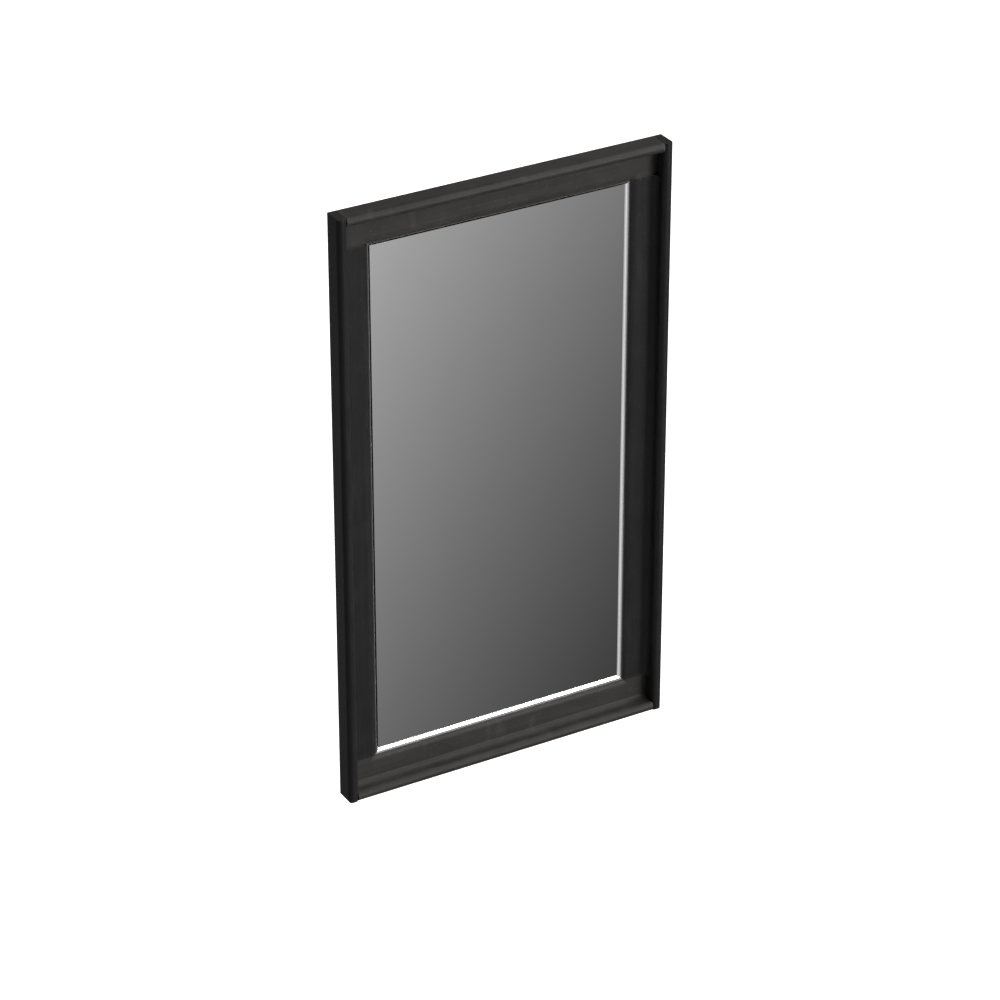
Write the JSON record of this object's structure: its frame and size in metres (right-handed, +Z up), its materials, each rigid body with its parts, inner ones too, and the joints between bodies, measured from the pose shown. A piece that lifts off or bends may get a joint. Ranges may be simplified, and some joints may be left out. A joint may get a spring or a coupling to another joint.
{
  "type": "framed wall mirror",
  "caption": "Portrait wall mirror in a dark wooden frame with a rounded outer surround, a recessed moulded inner frame and a polished slip round the glass.",
  "frame": {"origin": "centre of the back of the mirror, on the plane of the frame's back that faces the wall", "axes": "+X to the right of someone who looks at the mirror, +Y towards the wall, so the glass looks along -Y, +Z up"},
  "size_m": [0.6096, 0.0437, 1.0668],
  "materials": {
    "stile_wood": "satin near-black stain, neutral, on the upright members",
    "rail_wood": "satin dark brown-black stain on the level members",
    "slip_metal": "polished",
    "mirror_silver": "silvered glass",
    "hardboard": "brown hardboard",
    "dowel_beech": "bare beech",
    "zinc_steel": "bright zinc plate",
    "rubber": "matt black rubber"
  },
  "bodies": {
    "frame": {"outer_left_board": "stile_wood", "outer_right_board": "stile_wood", "outer_top_board": "rail_wood", "outer_bottom_board": "rail_wood", "inner_top_rail": "rail_wood", "inner_bottom_rail": "rail_wood", "inner_left_stile": "stile_wood", "inner_right_stile": "stile_wood", "left_slip": "slip_metal", "right_slip": "slip_metal", "top_slip": "slip_metal", "bottom_slip": "slip_metal", "mirror_glass": "mirror_silver", "backing_board": "hardboard", "corner_dowel_top_left_1": "dowel_beech", "corner_dowel_top_left_2": "dowel_beech", "corner_dowel_top_right_1": "dowel_beech", "corner_dowel_top_right_2": "dowel_beech", "corner_dowel_bottom_left_1": "dowel_beech", "corner_dowel_bottom_left_2": "dowel_beech", "corner_dowel_bottom_right_1": "dowel_beech", "corner_dowel_bottom_right_2": "dowel_beech", "frame_dowel_top_left_1": "dowel_beech", "frame_dowel_top_left_2": "dowel_beech", "frame_dowel_top_right_1": "dowel_beech", "frame_dowel_top_right_2": "dowel_beech", "frame_dowel_bottom_left_1": "dowel_beech", "frame_dowel_bottom_left_2": "dowel_beech", "frame_dowel_bottom_right_1": "dowel_beech", "frame_dowel_bottom_right_2": "dowel_beech", "backing_screw_01": "zinc_steel", "backing_screw_02": "zinc_steel", "backing_screw_03": "zinc_steel", "backing_screw_04": "zinc_steel", "backing_screw_05": "zinc_steel", "backing_screw_06": "zinc_steel", "backing_screw_07": "zinc_steel", "backing_screw_08": "zinc_steel", "backing_screw_09": "zinc_steel", "backing_screw_10": "zinc_steel", "backing_screw_11": "zinc_steel", "backing_screw_12": "zinc_steel", "backing_screw_13": "zinc_steel", "backing_screw_14": "zinc_steel", "hanger_strap_left": "zinc_steel", "hanger_screw_left_upper": "zinc_steel", "hanger_screw_left_lower": "zinc_steel", "wall_bumper_left": "rubber", "hanger_strap_right": "zinc_steel", "hanger_screw_right_upper": "zinc_steel", "hanger_screw_right_lower": "zinc_steel", "wall_bumper_right": "rubber"},
    "left_ring": {"hanger_ring_left": "zinc_steel"},
    "right_ring": {"hanger_ring_right": "zinc_steel"}
  },
  "joints": [
    {"name": "left_ring_swing", "type": "hinge", "parent": "frame", "child": "left_ring", "pos_m": [-0.2741, 0.0025, 0.3034], "axis": [1, 0, 0], "range_deg": [0, 180]},
    {"name": "right_ring_swing", "type": "hinge", "parent": "frame", "child": "right_ring", "pos_m": [0.2741, 0.0025, 0.3034], "axis": [1, 0, 0], "range_deg": [0, 180]}
  ]
}
